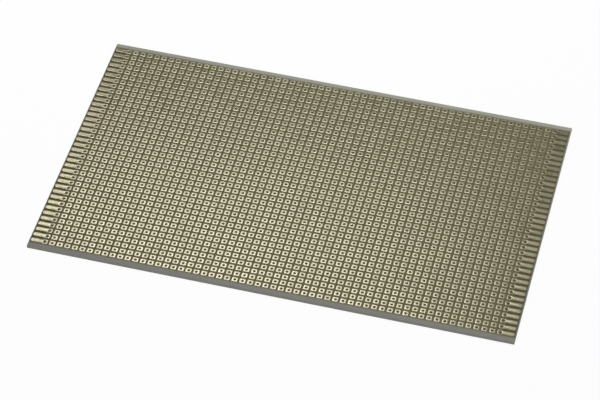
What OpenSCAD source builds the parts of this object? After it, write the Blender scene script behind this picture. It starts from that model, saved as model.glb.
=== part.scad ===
// Prototype board: a glass-epoxy sheet drilled on a square grid, with a separate
// tinned copper pad round every hole and a row of edge contacts along each short
// side. Origin at the middle of the underside, +Z up, +X along the length.

/* [Board] */
// Length of the sheet along X
board_l = 160; // [154:0.5:200]
// Width of the sheet along Y
board_w = 100; // [97:0.5:140]
// Thickness of the sheet
board_t = 1.2; // [0.8:0.1:3.2]

/* [Hole grid] */
// Distance between neighbouring holes, the same both ways
pitch = 2.54; // [2.1:0.01:2.56]
// Number of hole columns along X, the two contact columns included
cols = 60; // [4:1:60]
// Number of hole rows along Y
rows = 38; // [2:1:38]
// Diameter of every drilled hole
hole_d = 1; // [0.6:0.05:1.3]

/* [Copper] */
// Side of a square pad
pad_w = 1.9; // [1.5:0.05:2]
// Thickness of the copper with its coat of tin
copper_t = 0.07; // [0.035:0.005:0.15]

/* [Edge contacts] */
// Width of a contact strip along Y
contact_w = 1.6; // [1.4:0.05:1.9]
// Corner radius at the outer end of a contact strip
contact_r = 0.65; // [0.1:0.05:0.65]
// Corner radius of the pad at the inner end of a contact
contact_pad_r = 0.45; // [0.1:0.05:0.7]
// Bare margin between a contact and the sheet's short side
contact_gap = 0.4; // [0.05:0.05:1]

/* [Hidden] */
$fn = 48;

// Span between the outermost hole centres, along X and along Y
grid_l = (cols - 1) * pitch;
grid_w = (rows - 1) * pitch;
// From a contact's hole centre out to the end of its strip
contact_reach = (board_l - grid_l) / 2 - contact_gap;

tinned = [0.80, 0.78, 0.68];
epoxy = [0.42, 0.41, 0.29];

function col_x(i) = i * pitch - grid_l / 2;
function row_y(j) = j * pitch - grid_w / 2;
function row_node(j) = str("pad_row_", j < 9 ? "0" : "", j + 1);

// A rectangle with round corners, centred on the origin
module round_rect(l, w, r) {
    square([l - 2 * r, w], center = true);
    square([l, w - 2 * r], center = true);
    for (sx = [-1, 1], sy = [-1, 1])
        translate([sx * (l / 2 - r), sy * (w / 2 - r)])
            circle(r);
}

// Copper of the outline given as a child, with the hole at the origin
module island() {
    translate([0, 0, board_t])
        linear_extrude(copper_t)
            difference() {
                children();
                circle(d = hole_d);
            }
}

// One contact: a pad drawn out into a strip towards -X
module contact() {
    island() {
        round_rect(pad_w, pad_w, contact_pad_r);
        translate([-contact_reach / 2, 0])
            round_rect(contact_reach, contact_w, contact_r);
    }
}

// The bare sheet, drilled at every point of the grid
module laminate() {
    color(epoxy)
        linear_extrude(board_t)
            difference() {
                square([board_l, board_w], center = true);
                for (i = [0 : cols - 1], j = [0 : rows - 1])
                    translate([col_x(i), row_y(j)])
                        circle(d = hole_d);
            }
}

// The pads of row j: every column but the two outer ones, where the contacts are
module pad_row(j) {
    color(tinned)
        for (i = [1 : cols - 2])
            translate([col_x(i), row_y(j)])
                island() square(pad_w, center = true);
}

// The contacts along one short side: left is -X, right is +X
module left_contacts() {
    color(tinned)
        for (j = [0 : rows - 1])
            translate([col_x(0), row_y(j)])
                contact();
}

module right_contacts() {
    rotate(180) left_contacts();
}

laminate();
for (j = [0 : rows - 1])
    pad_row(j);
left_contacts();
right_contacts();
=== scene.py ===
import bmesh
import bpy
import math
from mathutils import Matrix, Vector


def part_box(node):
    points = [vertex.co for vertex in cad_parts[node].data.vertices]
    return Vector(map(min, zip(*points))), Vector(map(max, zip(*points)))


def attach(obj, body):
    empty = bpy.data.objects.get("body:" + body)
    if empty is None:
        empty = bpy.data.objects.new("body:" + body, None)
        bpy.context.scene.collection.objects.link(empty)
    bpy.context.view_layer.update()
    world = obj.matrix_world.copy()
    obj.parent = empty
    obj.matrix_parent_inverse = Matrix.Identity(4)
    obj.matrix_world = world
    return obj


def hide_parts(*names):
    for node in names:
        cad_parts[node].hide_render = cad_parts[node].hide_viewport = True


# A bare prototype board: a drilled sheet of woven glass and epoxy, with a land of tinned copper
# round every hole. A land is a square pad or, along the two short sides, an edge contact.

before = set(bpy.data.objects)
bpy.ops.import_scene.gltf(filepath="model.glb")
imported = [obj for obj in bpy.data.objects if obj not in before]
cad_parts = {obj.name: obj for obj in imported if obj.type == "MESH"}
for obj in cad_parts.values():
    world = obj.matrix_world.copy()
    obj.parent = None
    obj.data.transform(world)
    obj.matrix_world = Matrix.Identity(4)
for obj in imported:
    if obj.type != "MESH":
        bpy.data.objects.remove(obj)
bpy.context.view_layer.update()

MM = 0.001

# the sheet
HOLE_R = 0.5 * MM            # radius of a drilled hole
BORE_SIDES = 12              # sides of a drilled hole, the same in the sheet and in every pad
EDGE_BREAK = 0.12 * MM       # the sawn edges are broken by this much
WELD = 0.002 * MM            # points of the cells and the border nearer than this become one
WEAVE_REPEAT = 0.55 * MM     # the weave of the glass cloth repeats after this far, both ways
END_BARE = 0.1 * MM          # at a short side the sheet is bare and grey as far in as this
END_SHADED = 0.45 * MM       # and shaded and olive from this far in
SIDE_BARE = 0.4 * MM         # at a long side it is grey up to this far outside the hole field
SIDE_SHADED = 0.5 * MM       # and olive from this far inside it
STRIP_FADE = 1.2 * MM        # past the contacts' holes the painted shade of the strips and of the sheet between them comes in over this far

# the lands
PAD_CORNER_R = 0.2 * MM      # round corners of a pad
CONTACT_PAD_R = 0.45 * MM    # round corners of a contact's inner end
CONTACT_END_R = 0.65 * MM    # round corners of a contact's outer end
CONTACT_STEPS = 4            # steps in each round corner of a contact
RIM_SHARE = 0.55             # height of a land's rim, as a share of its full height
CREST_INSET = 0.16 * MM      # from the rim in to the crest of the tin
LEVEL_INSET = 0.32 * MM      # on a contact the tin is level from this far inside the rim
TIN_LEAN = 0.08 * MM         # on a pad the tin ran this far towards +X before it set
DISH_R = 0.78 * MM           # on a contact the tin starts to draw down this far from the hole's middle
BORE_SHARE = 0.50            # the tin draws down to this share of its height at the hole
THINNEST = 0.86              # lands differ in height, down to this share of the full height
CONTACT_SEED = 100           # seeds: 1 and up for the rows of pads, this plus or minus 1 for contacts
TONE_SEED = 500              # added to a row's seed for the tones of its lands
SHARP_FROM = math.radians(38)    # edges that turn by more than this stay sharp, on every piece
ROW_NODES = sorted(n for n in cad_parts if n.startswith("pad_row_"))


def read_sizes():
    """Sizes of the sheet, the hole field and the copper, taken from the boxes of the CAD nodes.

    first_pad is the middle of the front left pad, at its foot. bore_x is where the left contacts have
    their holes, and reach is how far they run out from there.
    """
    sheet_low, sheet_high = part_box("laminate")
    low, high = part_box(ROW_NODES[0])
    last_low, last_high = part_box(ROW_NODES[-1])
    left_low, left_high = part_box("left_contacts")
    rows = len(ROW_NODES)
    pad = high.y - low.y
    first_y = (low.y + high.y) / 2
    pitch = ((last_low.y + last_high.y) / 2 - first_y) / (rows - 1)
    pads = round((high.x - low.x - pad) / pitch) + 1
    return {"foot": sheet_low.z, "top": sheet_high.z, "half_l": sheet_high.x, "half_w": sheet_high.y,
            "pitch": pitch, "rows": rows, "pads": pads, "columns": pads + 2,
            "field_l": (pads + 2) * pitch / 2, "field_w": rows * pitch / 2,
            "pad": pad, "copper": high.z - low.z, "first_pad": (low.x + pad / 2, first_y, sheet_high.z),
            "bore_x": left_high.x - pad / 2, "reach": left_high.x - pad / 2 - left_low.x}


SIZE = read_sizes()


# ---------------------------------------------------------------- node trees and objects

class Wires:
    """Short hand for adding nodes to one tree and joining them."""

    def __init__(self, tree):
        self.tree = tree

    def node(self, kind, inputs=None, **fields):
        """A new node with its fields set and its inputs filled, by name or place."""
        n = self.tree.nodes.new(kind)
        for key, value in fields.items():
            setattr(n, key, value)
        for key, value in (inputs or {}).items():
            self.put(n.inputs[key], value)
        return n

    def put(self, socket, value):
        """Join another node's output to a socket, or set the socket to a plain value."""
        if hasattr(value, "is_output"):
            self.tree.links.new(value, socket)
        else:
            socket.default_value = value

    def math(self, op, *values):
        return self.node("ShaderNodeMath", dict(enumerate(values)), operation=op).outputs[0]

    def share(self, mask, most):
        """A mask from 0 to 1, made weaker so that it runs from 0 to most."""
        return self.math("MULTIPLY", mask, most)

    def ramp(self, value, low, high, to_low=0.0, to_high=1.0):
        """Low to high turned into to_low to to_high, and level past both ends."""
        n = self.node("ShaderNodeMapRange", {"Value": value, "From Min": low, "From Max": high,
                                             "To Min": to_low, "To Max": to_high})
        return n.outputs["Result"]

    def mix(self, fac, a, b, blend="MIX"):
        """Colour a, and by fac colour b. A Mix node of colours has them in places 6 and 7."""
        n = self.node("ShaderNodeMix", {0: fac, 6: a, 7: b}, data_type="RGBA", blend_type=blend)
        return n.outputs[2]

    def tint(self, fac, a, b):
        """Colour a, by fac multiplied by colour b."""
        return self.mix(fac, a, b, "MULTIPLY")

    def noise(self, vector, scale, detail=2.0, rough=0.5):
        """Cloudy noise from 0 to 1, with about scale lumps to a unit of the vector."""
        n = self.node("ShaderNodeTexNoise", {"Vector": vector, "Scale": scale, "Detail": detail,
                                             "Roughness": rough})
        return n.outputs["Fac"]

    def stretch(self, vector, scale, turn=0.0):
        """A vector multiplied axis by axis and turned about Z, which makes streaks of noise."""
        n = self.node("ShaderNodeMapping", {"Vector": vector, "Scale": scale, "Rotation": (0, 0, turn)})
        return n.outputs["Vector"]

    def split(self, vector):
        """The X, Y and Z of a vector, by name."""
        return self.node("ShaderNodeSeparateXYZ", {0: vector}).outputs

    def either_shader(self, fac, a, b):
        """Shader a, and by fac shader b."""
        return self.node("ShaderNodeMixShader", {0: fac, 1: a, 2: b}).outputs[0]


def node_group(name, kind, inputs, outputs):
    """A new node group with named sockets, each given with its type."""
    tree = bpy.data.node_groups.new(name, kind)
    for in_out, sockets in (("INPUT", inputs), ("OUTPUT", outputs)):
        for label, socket_type in sockets.items():
            tree.interface.new_socket(label, in_out=in_out, socket_type="NodeSocket" + socket_type)
    return tree


def cleared(owner, output):
    """An empty node tree for a material or a world, and the socket that its surface goes to."""
    owner.use_nodes = True
    owner.node_tree.nodes.clear()
    w = Wires(owner.node_tree)
    return w, w.node(output).inputs["Surface"]


def put_in_scene(name, data):
    thing = bpy.data.objects.new(name, data)
    bpy.context.scene.collection.objects.link(thing)
    return thing


# ---------------------------------------------------------------- materials

def colour(r, g, b):
    return (r, g, b, 1.0)


# the sheet: each pair runs from the darker blotches, layers or bore marks to the paler ones
# SHADED is painted shade: among the copper less light gets into the translucent sheet, so it is darker and
# more olive than the bare grey
SHADED = (colour(0.100, 0.086, 0.026), colour(0.134, 0.116, 0.044))
BARE = (colour(0.250, 0.246, 0.208), colour(0.310, 0.306, 0.266))
CUT_EDGE = (colour(0.225, 0.228, 0.212), colour(0.400, 0.403, 0.380))
# BORE is partly painted light, as light comes through the translucent sheet into the bores, and partly the
# pale loose glass of the drilled walls
BORE = (colour(0.40, 0.36, 0.20), colour(0.56, 0.52, 0.32))
SAW_MARK = colour(0.265, 0.268, 0.250)

# tints that the colours of its face are multiplied by: painted light that makes it paler to the rear and
# to the right, painted shade among the contact strips, and the real weave and stains
SHADED_PAINTED_LIGHT_REAR = colour(1.15, 1.15, 1.25)
SHADED_PAINTED_LIGHT_RIGHT = colour(1.65, 1.67, 2.00)
STRIPS_PAINTED_SHADE = colour(0.66, 0.66, 0.60)
BARE_PAINTED_LIGHT_REAR = colour(1.42, 1.42, 1.38)
BARE_PAINTED_LIGHT_RIGHT = colour(1.30, 1.30, 1.30)
CLOTH_TINT = colour(1.40, 1.40, 1.50)
STAIN_TINT = colour(0.80, 0.80, 0.72)

FACE_ROUGH = 0.42
CUT_ROUGH = 0.75             # of the sawn edges and the bores

# the tin: the pair runs from the dullest land to the brightest
TIN_TONES = (colour(0.61, 0.575, 0.41), colour(0.71, 0.675, 0.495))
TIN_STAIN = colour(0.59, 0.555, 0.41)
TIN_GRAIN = colour(0.79, 0.76, 0.61)
# painted shade that the tin of the contact strips is multiplied by, as their level tin catches less light
# than the crests of the pads
TIN_PAINTED_SHADE_AT_STRIPS = colour(0.90, 0.89, 0.83)


def make_handling_group():
    """Slow stains and fine rubbing marks, shared by the sheet and the tin."""
    group = node_group("handling marks", "ShaderNodeTree",
                       {"Position": "Vector", "Stain size": "Float"}, {"Stain": "Float", "Rub": "Float"})
    w = Wires(group)
    given = w.node("NodeGroupInput").outputs
    stain = w.noise(given["Position"], given["Stain size"], detail=3.0)
    rub = w.noise(w.stretch(given["Position"], scale=(900, 120, 300), turn=0.35), scale=1.0)
    w.node("NodeGroupOutput", {"Stain": w.ramp(stain, 0.3, 0.7), "Rub": w.ramp(rub, 0.35, 0.65)})
    return group


HANDLING = make_handling_group()


def handling_marks(w, position, size):
    """Masks of the stains and the rubbing marks, placed in one material."""
    marks = w.node("ShaderNodeGroup", node_tree=HANDLING)
    w.put(marks.inputs["Position"], position)
    w.put(marks.inputs["Stain size"], size)
    return marks.outputs["Stain"], marks.outputs["Rub"]


def where_on_piece(w):
    """Object coordinates, whole and by axis."""
    where = w.node("ShaderNodeTexCoord").outputs["Object"]
    return where, w.split(where)


def add_bump(w, shader, height, strength, depth):
    bump = w.node("ShaderNodeBump", {"Strength": strength, "Distance": depth, "Height": height})
    w.put(shader.inputs["Normal"], bump.outputs["Normal"])


def along_strips(w, x):
    """1 near the short sides, where the contact strips run and their painted shade goes, and 0 over the
    rest of the sheet.
    """
    return w.ramp(w.math("ABSOLUTE", x), -SIZE["bore_x"], -SIZE["bore_x"] + STRIP_FADE)


def among_copper(w, axis):
    """1 among the lands and their holes, and 0 on the bare margins and the sawn edges."""
    half_l, field_w = SIZE["half_l"], SIZE["field_w"]
    from_ends = w.ramp(w.math("ABSOLUTE", axis["X"]), half_l - END_BARE, half_l - END_SHADED)
    from_sides = w.ramp(w.math("ABSOLUTE", axis["Y"]), field_w + SIDE_BARE, field_w - SIDE_SHADED)
    return w.math("MULTIPLY", from_ends, from_sides)


def plain_weave(w, axis):
    """Bundles of glass that cross over and under each other, from 0 to 1."""
    turns = 2 * math.pi / WEAVE_REPEAT
    warp, weft = [w.math("SINE", w.math("MULTIPLY", axis[name], turns)) for name in "XY"]
    return w.ramp(w.math("MULTIPLY", warp, weft), -1.0, 1.0)


def face_colour(w, where, axis, cloth, stain, inside):
    """Painted shade, dark olive, where copper keeps the light out, grey on the margins, painted light that
    makes it paler to the rear and right, and painted shade among the strips.
    """
    # painted light: masks that make the face paler towards the rear and towards the right
    painted_light_rearward = w.ramp(axis["Y"], -SIZE["half_w"], SIZE["half_w"])
    painted_light_rightward = w.ramp(axis["X"], -SIZE["half_l"], SIZE["half_l"])
    blotch = w.noise(where, scale=190.0, detail=3.0)
    shaded = w.tint(painted_light_rearward, w.mix(blotch, *SHADED), SHADED_PAINTED_LIGHT_REAR)
    shaded = w.tint(painted_light_rightward, shaded, SHADED_PAINTED_LIGHT_RIGHT)
    # painted shade: the sheet among the contact strips and at their ends is darker
    shaded = w.tint(along_strips(w, axis["X"]), shaded, STRIPS_PAINTED_SHADE)
    bare = w.tint(painted_light_rearward, w.mix(blotch, *BARE), BARE_PAINTED_LIGHT_REAR)
    bare = w.tint(painted_light_rightward, bare, BARE_PAINTED_LIGHT_RIGHT)
    face = w.tint(w.share(cloth, most=0.35), w.mix(inside, bare, shaded), CLOTH_TINT)
    return w.tint(w.share(stain, most=0.22), face, STAIN_TINT)


def cut_colour(w, where, saw, inside):
    """Pressed layers of cloth, seen as thin level lines; drilled bores are paler, partly from loose glass
    and partly painted light that comes through the translucent sheet.
    """
    layers = w.noise(w.stretch(where, scale=(220, 220, 5200)), scale=1.0)
    edge = w.mix(w.share(saw, most=0.35), w.mix(layers, *CUT_EDGE), SAW_MARK)
    return w.mix(inside, edge, w.mix(saw, *BORE))


def epoxy_glass():
    """Bare sheet of woven glass and epoxy, with its sawn edges and drilled bores."""
    mat = bpy.data.materials.new("epoxy glass sheet")
    w, surface = cleared(mat, "ShaderNodeOutputMaterial")
    shader = w.node("ShaderNodeBsdfPrincipled", {"Specular IOR Level": 0.25})
    w.put(surface, shader.outputs["BSDF"])
    where, axis = where_on_piece(w)
    inside = among_copper(w, axis)
    cloth = plain_weave(w, axis)
    stain, rub = handling_marks(w, where, size=26.0)
    saw = w.noise(w.stretch(where, scale=(2600, 2600, 700)), scale=1.0)
    facing = w.split(w.node("ShaderNodeNewGeometry").outputs["Normal"])
    level = w.ramp(w.math("ABSOLUTE", facing["Z"]), 0.6, 0.9)    # 1 on the two faces, 0 where it is cut

    w.put(shader.inputs["Base Color"], w.mix(level, cut_colour(w, where, saw, inside),
                                             face_colour(w, where, axis, cloth, stain, inside)))
    smooth = w.math("MULTIPLY", level, w.ramp(rub, 0.0, 1.0, to_low=1.0, to_high=0.85))
    w.put(shader.inputs["Roughness"], w.ramp(smooth, 0.0, 1.0, to_low=CUT_ROUGH, to_high=FACE_ROUGH))
    add_bump(w, shader, w.mix(level, saw, cloth), strength=0.35, depth=0.02 * MM)
    return mat


def hot_tin():
    """Copper under a thin coat of hot tin: warm pale grey, a little different on every land."""
    mat = bpy.data.materials.new("hot tinned copper")
    w, surface = cleared(mat, "ShaderNodeOutputMaterial")
    shader = w.node("ShaderNodeBsdfPrincipled", {"Metallic": 0.85})
    w.put(surface, shader.outputs["BSDF"])
    where, axis = where_on_piece(w)
    tone = w.node("ShaderNodeAttribute", attribute_name="tin_tone").outputs["Fac"]
    stain, rub = handling_marks(w, where, size=34.0)
    grain = w.noise(where, scale=2600.0, detail=3.0, rough=0.6)

    warm = w.mix(w.share(stain, most=0.35), w.mix(tone, *TIN_TONES), TIN_STAIN)
    warm = w.mix(w.share(grain, most=0.25), warm, TIN_GRAIN)
    # painted shade: the tin of the contact strips is darker and yellower
    w.put(shader.inputs["Base Color"], w.tint(along_strips(w, axis["X"]), warm, TIN_PAINTED_SHADE_AT_STRIPS))
    own_rough = w.ramp(tone, 0.0, 1.0, to_low=0.24, to_high=0.32)
    w.put(shader.inputs["Roughness"], w.math("ADD", own_rough, w.share(rub, most=0.08)))
    add_bump(w, shader, w.noise(where, scale=1500.0), strength=0.25, depth=0.01 * MM)
    return mat


TIN = hot_tin()


# ---------------------------------------------------------------- lands of tinned copper

def arc(cx, cy, r, start, end, steps):
    """Points along part of a circle, angles in degrees."""
    turns = [math.radians(start + (end - start) * k / steps) for k in range(steps + 1)]
    return [(cx + r * math.cos(a), cy + r * math.sin(a)) for a in turns]


def bore_ring(count, r=HOLE_R):
    """Points round a hole at the origin, anticlockwise, the first one half a step past +X."""
    step = 2 * math.pi / count
    return [(r * math.cos((k + 0.5) * step), r * math.sin((k + 0.5) * step)) for k in range(count)]


def pad_outline(inset, lean=0.0):
    """A square pad with round corners, drawn in by inset and moved along X by lean.

    It runs anticlockwise from its +X side, with as many points as the pad's bore.
    """
    steps = BORE_SIDES // 4 - 1
    c, r = SIZE["pad"] / 2 - PAD_CORNER_R, PAD_CORNER_R - inset
    left, right = lean - c, lean + c
    return (arc(right, c, r, 0, 90, steps) + arc(left, c, r, 90, 180, steps)
            + arc(left, -c, r, 180, 270, steps) + arc(right, -c, r, 270, 360, steps))


def contact_outline(inset, half_strip):
    """A pad drawn out into a narrower strip towards -X, drawn in by inset.

    It runs anticlockwise from its +X side.
    """
    c, r = SIZE["pad"] / 2 - CONTACT_PAD_R, CONTACT_PAD_R - inset
    meet = 180 - math.degrees(math.asin((half_strip - inset - c) / r))
    end_x, end_y, end_r = CONTACT_END_R - SIZE["reach"], half_strip - CONTACT_END_R, CONTACT_END_R - inset
    upper = (arc(c, c, r, 0, 90, CONTACT_STEPS) + arc(-c, c, r, 90, meet, CONTACT_STEPS)
             + arc(end_x, end_y, end_r, 90, 180, CONTACT_STEPS))
    return upper + [(x, -y) for x, y in reversed(upper)]


def smooth_but_for_edges(mesh):
    mesh.shade_smooth()
    mesh.set_sharp_from_angle(angle=SHARP_FROM)


def land_mesh(name, rings):
    """One land with its bore at the origin, as a closed skin.

    It runs through rings of points, each given with its height, from the outside in to the bore.
    """
    bm = bmesh.new()
    made = [[bm.verts.new((x, y, z)) for x, y in points] for points, z in rings]
    count = len(made[0])
    for low, high in zip(made, made[1:] + made[:1]):
        for k in range(count):
            n = (k + 1) % count
            bm.faces.new((low[k], low[n], high[n], high[k]))
    bmesh.ops.recalc_face_normals(bm, faces=bm.faces)
    mesh = bpy.data.meshes.new(name)
    bm.to_mesh(mesh)
    bm.free()
    smooth_but_for_edges(mesh)
    return mesh


def random_number(w, seed, lowest=0.0, highest=1.0):
    """A number of its own for each point or instance. A Random Value's plain numbers are 2 and 3."""
    n = w.node("FunctionNodeRandomValue", {2: lowest, 3: highest, "Seed": seed}, data_type="FLOAT")
    return n.outputs[1]


def row_tree():
    """Geometry Nodes that set one land down again and again along a straight row."""
    tree = node_group("row of lands", "GeometryNodeTree",
                      {"Land": "Geometry", "Count": "Int", "First": "Vector", "Step": "Vector",
                       "Turn": "Float", "Thinnest": "Float", "Seed": "Int", "Finish": "Material"},
                      {"Row": "Geometry"})
    w = Wires(tree)
    given = w.node("NodeGroupInput").outputs
    line = w.node("GeometryNodeMeshLine", {"Count": given["Count"], "Start Location": given["First"],
                                           "Offset": given["Step"]}, mode="OFFSET")
    height = random_number(w, given["Seed"], lowest=given["Thinnest"])
    size = w.node("ShaderNodeCombineXYZ", {"X": 1.0, "Y": 1.0, "Z": height})
    turn = w.node("ShaderNodeCombineXYZ", {"Z": given["Turn"]})
    lands = w.node("GeometryNodeInstanceOnPoints",
                   {"Points": line.outputs["Mesh"], "Instance": given["Land"],
                    "Rotation": turn.outputs["Vector"], "Scale": size.outputs["Vector"]})
    tone = random_number(w, w.math("ADD", given["Seed"], TONE_SEED))
    marked = w.node("GeometryNodeStoreNamedAttribute",
                    {"Geometry": lands.outputs["Instances"], "Name": "tin_tone", "Value": tone},
                    data_type="FLOAT", domain="INSTANCE")
    real = w.node("GeometryNodeRealizeInstances", {"Geometry": marked.outputs["Geometry"]})
    finish = w.node("GeometryNodeSetMaterial", {"Geometry": real.outputs["Geometry"],
                                                "Material": given["Finish"]})
    w.node("NodeGroupOutput", {"Row": finish.outputs["Geometry"]})
    return tree


ROW_TREE = row_tree()


def grown(name, mesh, tree, values):
    """The plain mesh that a tree of Geometry Nodes makes from a small mesh and named values."""
    maker = put_in_scene(name + "_maker", mesh)
    mod = maker.modifiers.new("grow", "NODES")
    mod.node_group = tree
    for item in tree.interface.items_tree:
        if item.in_out == "INPUT" and item.name in values:
            mod[item.identifier] = values[item.name]
    maker.update_tag()
    graph = bpy.context.evaluated_depsgraph_get()
    plain = bpy.data.meshes.new_from_object(maker.evaluated_get(graph), depsgraph=graph)
    bpy.data.objects.remove(maker)
    plain.name = name
    return plain


def lay_row(name, mesh, count, first, step, turn, seed):
    """A row of lands as one plain mesh piece."""
    plain = grown(name, mesh, ROW_TREE, {"Count": count, "First": first, "Step": step, "Turn": turn,
                                         "Thinnest": THINNEST, "Seed": seed, "Finish": TIN})
    return put_in_scene(name, plain)


def lay_pads():
    thick = SIZE["copper"]
    full, crest, bore = pad_outline(0), pad_outline(CREST_INSET, TIN_LEAN), bore_ring(BORE_SIDES)
    pad = land_mesh("pad", [(full, 0.0), (full, RIM_SHARE * thick), (crest, thick),
                            (bore, BORE_SHARE * thick), (bore, 0.0)])
    x, y, z = SIZE["first_pad"]
    for k, node in enumerate(ROW_NODES):
        piece = lay_row(node.replace("pad_row", "pads"), pad, SIZE["pads"],
                        (x, y + k * SIZE["pitch"], z), (SIZE["pitch"], 0, 0), 0.0, k + 1)
        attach(piece, "root")
        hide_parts(node)


def strip_half_width():
    """Half the width of a contact strip, from the CAD contact's points out beyond its pad."""
    clear = 0.1 * MM
    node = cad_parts["left_contacts"]
    beyond = SIZE["bore_x"] - SIZE["pad"] / 2
    first_y = SIZE["first_pad"][1]
    ends = [v.co.y - first_y for v in node.data.vertices
            if v.co.x < beyond - clear and abs(v.co.y - first_y) < SIZE["pitch"] / 2]
    return max(ends)


def lay_contacts():
    thick = SIZE["copper"]
    half_strip = strip_half_width()
    full, crest, level = [contact_outline(inset, half_strip) for inset in (0, CREST_INSET, LEVEL_INSET)]
    count = len(full)
    dish, bore = bore_ring(count, DISH_R), bore_ring(count)
    contact = land_mesh("contact", [(full, 0.0), (full, RIM_SHARE * thick), (crest, thick), (level, thick),
                                    (dish, thick), (bore, BORE_SHARE * thick), (bore, 0.0)])
    _, y, z = SIZE["first_pad"]
    for side, node in ((1, "left_contacts"), (-1, "right_contacts")):
        piece = lay_row(node.replace("_", "_edge_"), contact, SIZE["rows"], (side * SIZE["bore_x"], y, z),
                        (0, SIZE["pitch"], 0), 0.0 if side > 0 else math.pi, CONTACT_SEED + side)
        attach(piece, "root")
        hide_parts(node)


# ---------------------------------------------------------------- the drilled sheet

def cell_mesh():
    """One cell of the sheet, open at its four sides: top and underside round one drilled bore."""
    half = SIZE["pitch"] / 2
    corners = [(half, half), (-half, half), (-half, -half), (half, -half)]
    ring = bore_ring(BORE_SIDES)
    own = BORE_SIDES // 4        # bore points that belong to each corner
    bm = bmesh.new()
    levels = [[[bm.verts.new((x, y, z)) for x, y in outline] for outline in (corners, ring)]
              for z in (SIZE["top"], SIZE["foot"])]
    for outer, inner in levels:
        for q in range(4):
            for k in range(q * own, q * own + own - 1):
                bm.faces.new((outer[q], inner[k], inner[k + 1]))
            last, nxt = q * own + own - 1, (q + 1) % 4
            bm.faces.new((outer[q], inner[last], inner[(last + 1) % BORE_SIDES], outer[nxt]))
    (_, up), (_, down) = levels
    for k in range(BORE_SIDES):
        n = (k + 1) % BORE_SIDES
        bm.faces.new((up[k], up[n], down[n], down[k]))
    mesh = bpy.data.meshes.new("cell")
    bm.to_mesh(mesh)
    bm.free()
    return mesh


def border_mesh():
    """The bare margin all round the hole field, with the sawn edges lightly broken."""
    pitch, field_l, field_w = SIZE["pitch"], SIZE["field_l"], SIZE["field_w"]
    along = [k * pitch - field_l for k in range(SIZE["columns"])]
    across = [k * pitch - field_w for k in range(SIZE["rows"])]
    loop = ([(x, -field_w) for x in along] + [(field_l, y) for y in across]
            + [(-x, field_w) for x in along] + [(-field_l, -y) for y in across])

    def pushed_out(half_l, half_w, z):
        """The loop moved out to a rectangle of these half sizes, at one height."""
        ring = []
        for x, y in loop:
            if abs(x) > field_l - pitch / 2:
                x = math.copysign(half_l, x)
            if abs(y) > field_w - pitch / 2:
                y = math.copysign(half_w, y)
            ring.append((x, y, z))
        return ring

    long, wide, top, foot, cut = SIZE["half_l"], SIZE["half_w"], SIZE["top"], SIZE["foot"], EDGE_BREAK
    rings = [pushed_out(field_l, field_w, top), pushed_out(long - cut, wide - cut, top),
             pushed_out(long, wide, top - cut), pushed_out(long, wide, foot + cut),
             pushed_out(long - cut, wide - cut, foot), pushed_out(field_l, field_w, foot)]
    bm = bmesh.new()
    made = [[bm.verts.new(p) for p in ring] for ring in rings]
    for inner, outer in zip(made, made[1:]):
        for k in range(len(loop)):
            n = (k + 1) % len(loop)
            bm.faces.new((inner[k], outer[k], outer[n], inner[n]))
    mesh = bpy.data.meshes.new("border")
    bm.to_mesh(mesh)
    bm.free()
    return mesh


def sheet_tree():
    """Geometry Nodes that repeat the drilled cell over the hole field and weld it to the border."""
    tree = node_group("drilled sheet", "GeometryNodeTree",
                      {"Cell": "Geometry", "Columns": "Int", "Rows": "Int", "Length": "Float",
                       "Width": "Float", "Border": "Object", "Finish": "Material"},
                      {"Sheet": "Geometry"})
    w = Wires(tree)
    given = w.node("NodeGroupInput").outputs
    grid = w.node("GeometryNodeMeshGrid", {"Size X": given["Length"], "Size Y": given["Width"],
                                           "Vertices X": given["Columns"], "Vertices Y": given["Rows"]})
    cells = w.node("GeometryNodeInstanceOnPoints", {"Points": grid.outputs["Mesh"],
                                                    "Instance": given["Cell"]})
    border = w.node("GeometryNodeObjectInfo", {"Object": given["Border"]})
    both = w.node("GeometryNodeJoinGeometry")
    w.put(both.inputs["Geometry"], cells.outputs["Instances"])
    w.put(both.inputs["Geometry"], border.outputs["Geometry"])
    real = w.node("GeometryNodeRealizeInstances", {"Geometry": both.outputs["Geometry"]})
    weld = w.node("GeometryNodeMergeByDistance", {"Geometry": real.outputs["Geometry"], "Distance": WELD})
    finish = w.node("GeometryNodeSetMaterial", {"Geometry": weld.outputs["Geometry"],
                                                "Material": given["Finish"]})
    w.node("NodeGroupOutput", {"Sheet": finish.outputs["Geometry"]})
    return tree


def lay_sheet():
    border = put_in_scene("border_maker", border_mesh())
    plain = grown("drilled_sheet", cell_mesh(), sheet_tree(), {
        "Columns": SIZE["columns"], "Rows": SIZE["rows"], "Border": border, "Finish": epoxy_glass(),
        "Length": (SIZE["columns"] - 1) * SIZE["pitch"], "Width": (SIZE["rows"] - 1) * SIZE["pitch"]})
    bpy.data.objects.remove(border)
    bm = bmesh.new()
    bm.from_mesh(plain)
    bmesh.ops.recalc_face_normals(bm, faces=bm.faces)
    bm.to_mesh(plain)
    bm.free()
    smooth_but_for_edges(plain)
    piece = put_in_scene("drilled_sheet", plain)
    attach(piece, "root")
    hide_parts("laminate")


# ---------------------------------------------------------------- studio

SENSOR = 36.0                # width of the camera's sensor and its focal length, in millimetres
LENS = 166.7
NEAREST, FURTHEST = 0.05, 20.0    # the camera sees nothing nearer or further than this
CAMERA_AT = Vector((0.14716, -0.62917, 0.65009))
CAMERA_AHEAD = Vector((-0.16170, 0.68291, -0.71239))
CAMERA_UP = Vector((-0.18715, 0.68756, 0.70159))

# Level tin shows a viewer in front the part of the room that is to the rear and up. The room is dim
# there and bright all round it, or the tin would be white all over.
DIM_TOWARDS = Vector((-0.16, 0.69, 0.70))
DIM_FROM, DIM_FULL = 0.30, 0.95    # cosines of the angle from there where it starts to dim and is dim
ROOM_BRIGHT, ROOM_DIM = 0.70, 0.12

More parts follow.
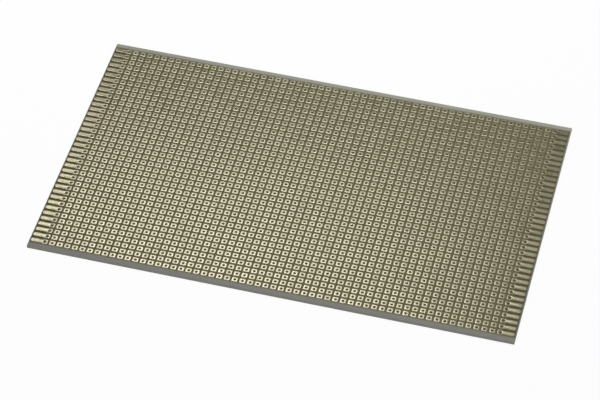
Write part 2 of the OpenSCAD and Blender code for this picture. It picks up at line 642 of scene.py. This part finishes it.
# one soft lamp, up behind the rear left corner of the board and facing straight down
WINDOW_AT = (-0.08, 0.16, 0.25)
WINDOW_SIZE = (0.24, 0.12)
WINDOW_POWER = 0.219

FLOOR_REACH = 3.0            # the floor reaches this far to each side
FLOOR_GAP = 0.02 * MM        # it lies this far under the board, because two faces in one place speckle
PAPER_GLOW = 1.04            # strength of the paper's own white
GLOW_SHARE = 0.90            # how much of what is seen of it is that white, and the rest is lit paper


def look_through_camera():
    """Long lens from in front and a little to the right, looking down at the board."""
    data = bpy.data.cameras.new("camera")
    data.sensor_width = SENSOR
    data.lens = LENS
    data.clip_start, data.clip_end = NEAREST, FURTHEST
    cam = put_in_scene("camera", data)
    ahead = CAMERA_AHEAD.normalized()
    right = ahead.cross(CAMERA_UP).normalized()
    up = right.cross(ahead).normalized()
    place = Matrix((right, up, -ahead)).transposed().to_4x4()
    place.translation = CAMERA_AT
    cam.matrix_world = place
    bpy.context.scene.camera = cam


def seen_by(w, kind, *others):
    """1 for rays of the kinds named, and 0 for all other rays."""
    rays = w.node("ShaderNodeLightPath").outputs
    found = rays[f"Is {kind} Ray"]
    for other in others:
        found = w.math("MAXIMUM", found, rays[f"Is {other} Ray"])
    return found


def furnish_room():
    """White where the camera sees it, and for the light on the board a bright room with a dim part."""
    world = bpy.data.worlds.new("studio")
    bpy.context.scene.world = world
    w, surface = cleared(world, "ShaderNodeOutputWorld")
    towards = w.node("ShaderNodeVectorMath", {0: w.node("ShaderNodeTexCoord").outputs["Generated"],
                                              1: DIM_TOWARDS.normalized()}, operation="DOT_PRODUCT")
    strength = w.ramp(towards.outputs["Value"], DIM_FROM, DIM_FULL, to_low=ROOM_BRIGHT, to_high=ROOM_DIM)
    room = w.node("ShaderNodeBackground", {"Color": colour(1, 1, 1), "Strength": strength})
    white = w.node("ShaderNodeBackground", {"Color": colour(1, 1, 1), "Strength": 1.0})
    seen = seen_by(w, "Camera", "Transmission")
    w.put(surface, w.either_shader(seen, room.outputs[0], white.outputs[0]))


def white_paper():
    """Paper that is white where it is seen, and plain matt for the light that falls on the board.

    It has no glow under the board, so the holes are dark, and it can't be seen from below.
    """
    mat = bpy.data.materials.new("white paper")
    w, surface = cleared(mat, "ShaderNodeOutputMaterial")
    matt = w.node("ShaderNodeBsdfDiffuse", {"Color": colour(0.8, 0.8, 0.8)})
    glow = w.node("ShaderNodeEmission", {"Strength": PAPER_GLOW})
    _, axis = where_on_piece(w)
    past_end = w.math("GREATER_THAN", w.math("ABSOLUTE", axis["X"]), SIZE["half_l"])
    past_side = w.math("GREATER_THAN", w.math("ABSOLUTE", axis["Y"]), SIZE["half_w"])
    seen = w.share(seen_by(w, "Camera", "Transmission", "Glossy"), most=GLOW_SHARE)
    glowing = w.math("MULTIPLY", seen, w.math("MAXIMUM", past_end, past_side))
    paper = w.either_shader(glowing, matt.outputs[0], glow.outputs[0])
    below = w.node("ShaderNodeNewGeometry").outputs["Backfacing"]
    w.put(surface, w.either_shader(below, paper, w.node("ShaderNodeBsdfTransparent").outputs[0]))
    return mat


def lay_floor():
    s, z = FLOOR_REACH, SIZE["foot"] - FLOOR_GAP
    mesh = bpy.data.meshes.new("floor")
    mesh.from_pydata([(-s, -s, z), (s, -s, z), (s, s, z), (-s, s, z)], [], [(0, 1, 2, 3)])
    mesh.materials.append(white_paper())
    floor = put_in_scene("floor", mesh)


def hang_window_box():
    data = bpy.data.lights.new("window box", "AREA")
    data.shape = "RECTANGLE"
    data.size, data.size_y = WINDOW_SIZE
    data.energy = WINDOW_POWER
    lamp = put_in_scene("window box", data)
    lamp.location = WINDOW_AT


look_through_camera()
furnish_room()
lay_floor()
hang_window_box()
bpy.context.scene.view_settings.view_transform = "Standard"
lay_sheet()
lay_pads()
lay_contacts()
